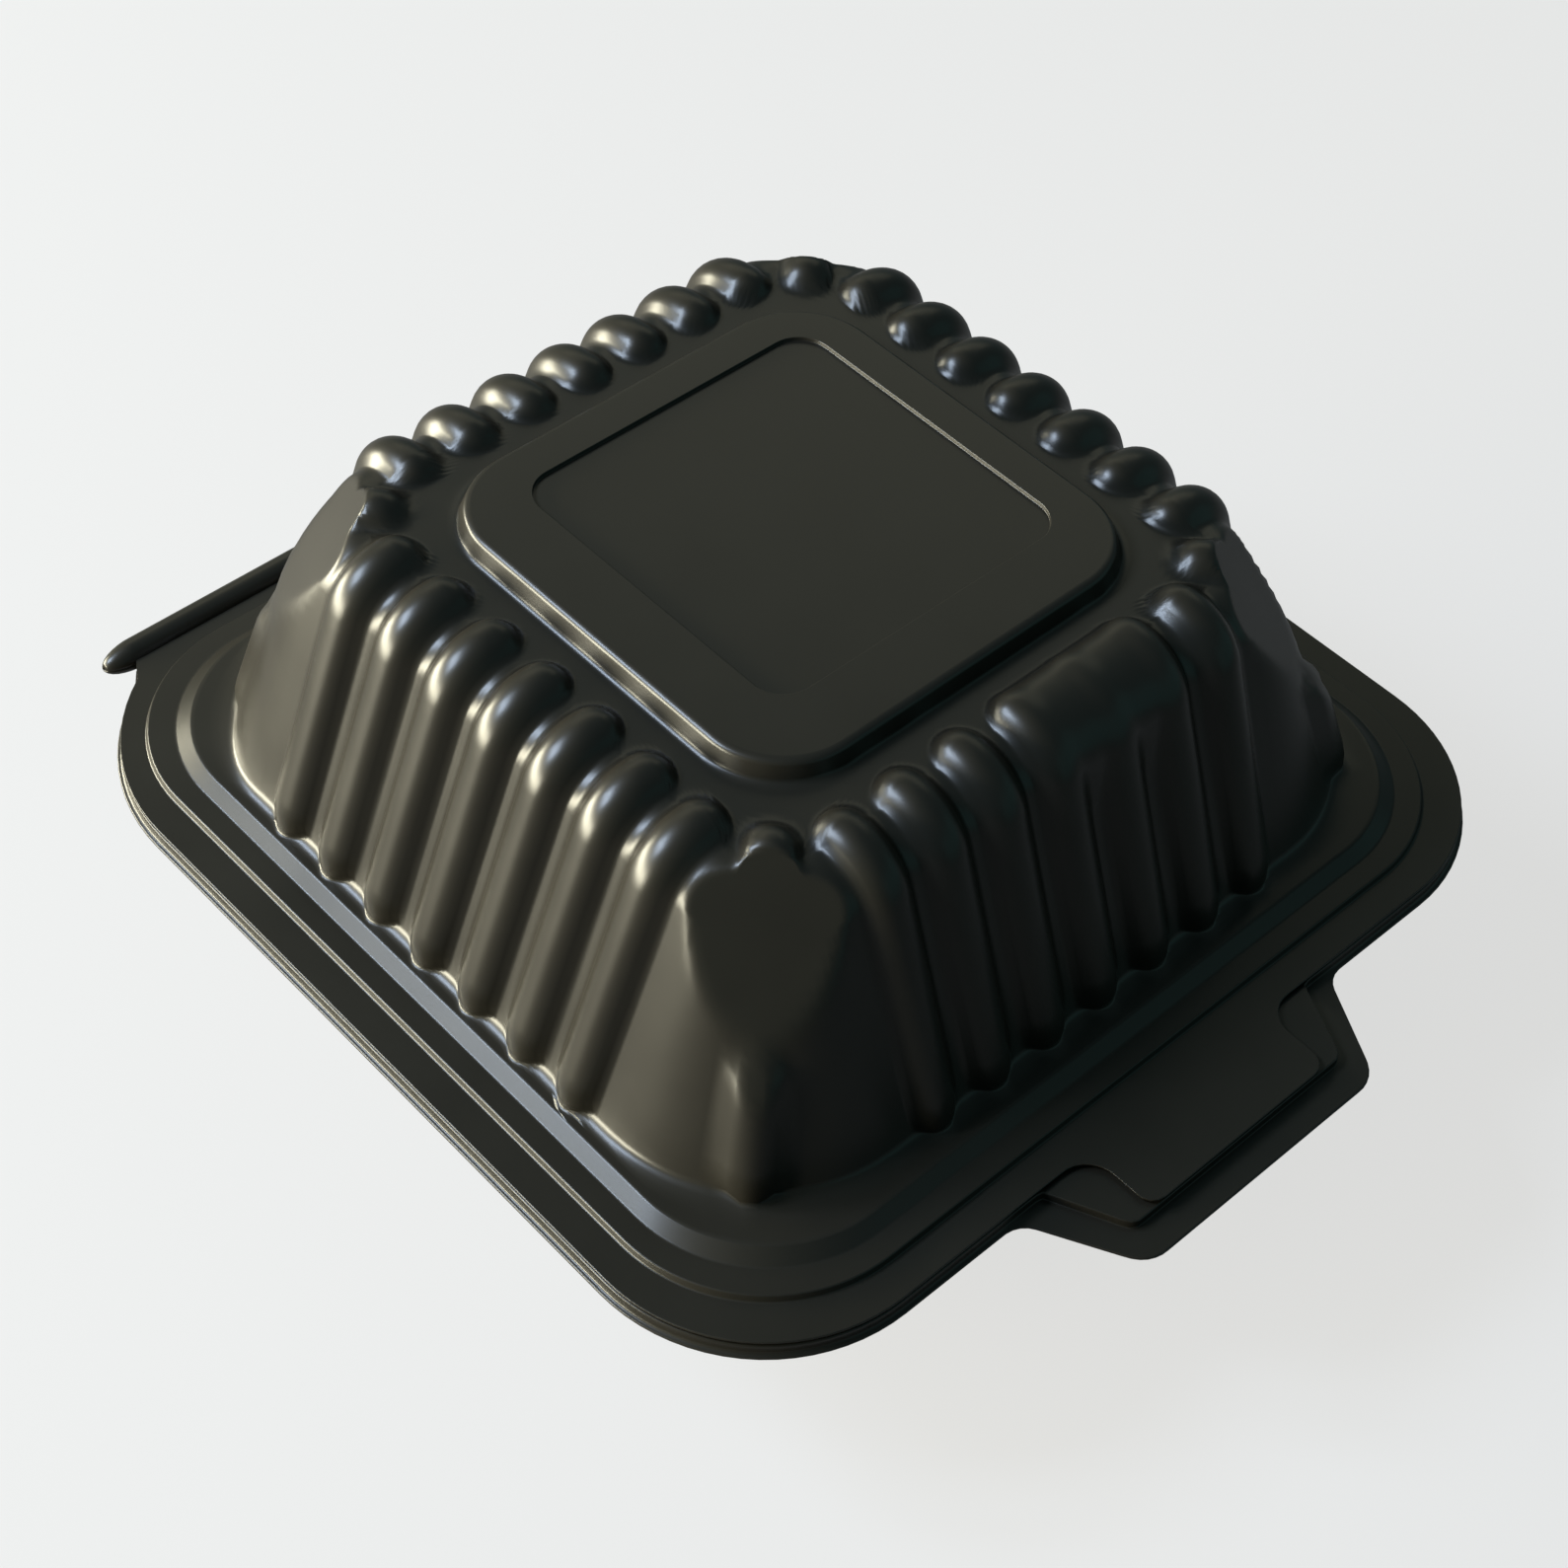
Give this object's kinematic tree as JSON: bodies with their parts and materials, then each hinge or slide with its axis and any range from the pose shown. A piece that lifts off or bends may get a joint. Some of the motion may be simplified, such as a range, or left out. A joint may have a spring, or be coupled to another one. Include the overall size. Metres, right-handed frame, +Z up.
{
  "type": "clamshell container",
  "caption": "Square hinged food container with a fluted domed lid, stepped rim, corner facets and a front latch tongue.",
  "frame": {"origin": "on the table under the middle of the rim", "axes": "+Z up, +Y from the latch towards the hinge, +X along the hinge"},
  "size_m": [0.1528, 0.1697, 0.0809],
  "materials": {
    "plastic": "satin"
  },
  "bodies": {
    "base": {"base_tray": "plastic"},
    "lid": {"lid": "plastic"}
  },
  "joints": [
    {"name": "lid_hinge", "type": "hinge", "parent": "base", "child": "lid", "pos_m": [0, 0.0783, 0.03615], "axis": [-1, 0, 0], "range_deg": [0, 165]}
  ]
}
